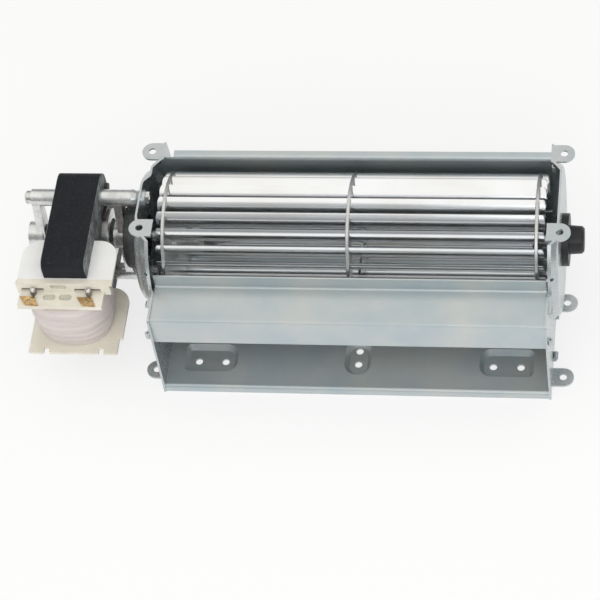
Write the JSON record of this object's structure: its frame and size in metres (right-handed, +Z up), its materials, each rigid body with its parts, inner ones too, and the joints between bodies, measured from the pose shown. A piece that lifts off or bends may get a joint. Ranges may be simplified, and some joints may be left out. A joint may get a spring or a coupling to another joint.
{
  "type": "cross flow fan",
  "caption": "Cross flow fan: long aluminium blade wheel in a scroll of bent sheet with an outlet slot, driven by a shaded-pole C-frame motor on its left end.",
  "frame": {"origin": "centre of the four base ears, on the plane the base rests on", "axes": "+X along the impeller axis away from the motor, +Z up through the intake, -Y out of the outlet"},
  "size_m": [0.2633, 0.0958, 0.0781],
  "materials": {
    "galvanised_sheet": "zinc-plated sheet, satin",
    "black_rubber": "matte",
    "bronze_bush": "sintered",
    "core_black": "semi-matte varnish",
    "copper": "plain copper",
    "bobbin_plastic": "moulded nylon",
    "coil_tape": "wound tape",
    "plated_steel": "bright plated",
    "brass_tab": "bright",
    "cast_zinc": "die-cast, satin",
    "dark_steel": "dark",
    "blade_aluminium": "polished strip",
    "disc_aluminium": "plain",
    "rotor_steel": "ground"
  },
  "bodies": {
    "housing": {"scroll_housing": "galvanised_sheet", "vortex_wall": "galvanised_sheet", "left_end_plate": "galvanised_sheet", "right_end_plate": "galvanised_sheet", "bearing_grommet": "black_rubber", "right_bearing_bush": "bronze_bush", "stator_core": "core_black", "core_yoke": "core_black", "shading_rings": "copper", "core_rivets": "core_black", "coil_bobbin": "bobbin_plastic", "coil_winding": "coil_tape", "terminal_pins": "plated_steel", "left_terminal": "brass_tab", "right_terminal": "brass_tab", "outer_bracket": "cast_zinc", "inner_bracket": "cast_zinc", "outer_bearing_bush": "bronze_bush", "inner_bearing_bush": "bronze_bush", "motor_screws": "plated_steel", "screw_nuts": "plated_steel", "motor_grommets": "black_rubber", "motor_spacer_cup": "dark_steel"},
    "rotor": {"impeller_blades": "blade_aluminium", "left_end_disc": "disc_aluminium", "middle_ring": "disc_aluminium", "right_end_disc": "disc_aluminium", "drive_hub": "cast_zinc", "hub_set_screw": "dark_steel", "right_stub_shaft": "plated_steel", "motor_shaft": "plated_steel", "rotor_core": "rotor_steel", "rotor_end_rings": "disc_aluminium", "thrust_washers": "bobbin_plastic"}
  },
  "joints": [
    {"name": "impeller_spin", "type": "hinge", "parent": "housing", "child": "rotor", "pos_m": [0, 0.024, 0.0475], "axis": [-1, 0, 0], "continuous": true}
  ]
}
